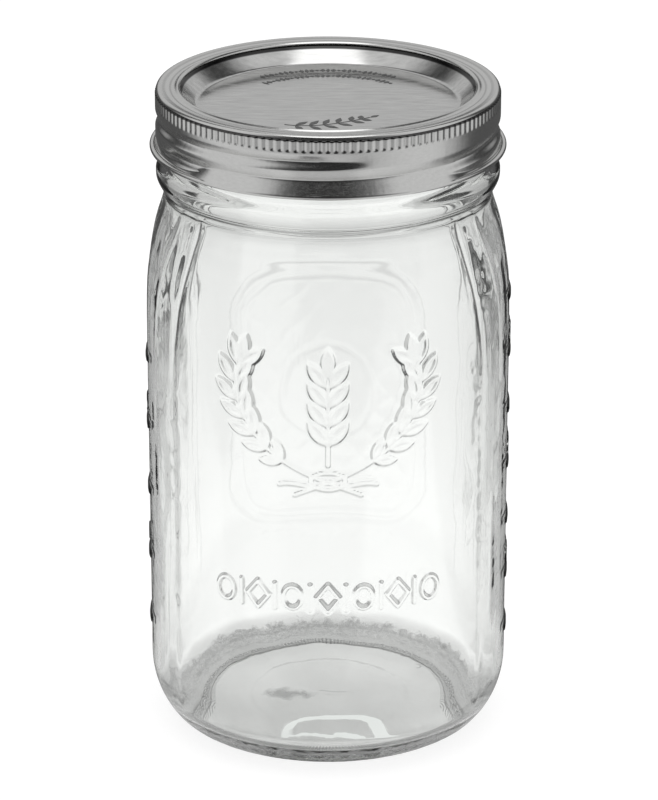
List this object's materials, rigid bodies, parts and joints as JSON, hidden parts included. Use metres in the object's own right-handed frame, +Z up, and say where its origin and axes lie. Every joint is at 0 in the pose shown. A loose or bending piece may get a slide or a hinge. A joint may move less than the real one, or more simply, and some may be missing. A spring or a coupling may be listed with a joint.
{
  "type": "glass storage jar",
  "caption": "Wide-mouth clear glass jar with crowned sides, closed by a flat metal lid disc and a threaded, fluted screw band.",
  "frame": {"origin": "centre of the base, on the plane the jar stands on", "axes": "+Z up along the jar's own axis, front face towards -Y, side faces towards +X and -X"},
  "size_m": [0.0958, 0.0948, 0.175],
  "materials": {
    "glass": "polished clear moulded glass",
    "lid_tinplate": "satin rolled tinplate",
    "seal_compound": "matte sealing compound",
    "band_tinplate": "satin rolled tinplate"
  },
  "bodies": {
    "jar": {"glass_jar": "glass"},
    "lid": {"lid_disc": "lid_tinplate", "seal_ring": "seal_compound"},
    "band": {"screw_band": "band_tinplate"}
  },
  "joints": [
    {"name": "closure_rise", "type": "slide", "parent": "jar", "child": "lid", "axis": [0, 0, 1], "range_m": [0, 0.0166]},
    {"name": "band_turn", "type": "hinge", "parent": "lid", "child": "band", "pos_m": [0, 0, 0.165], "axis": [0, 0, 1], "range_deg": [0, 1170]}
  ],
  "couplings": [
    {"joint": "closure_rise", "follows": "band_turn", "m_per_rad": 0.00080851}
  ]
}
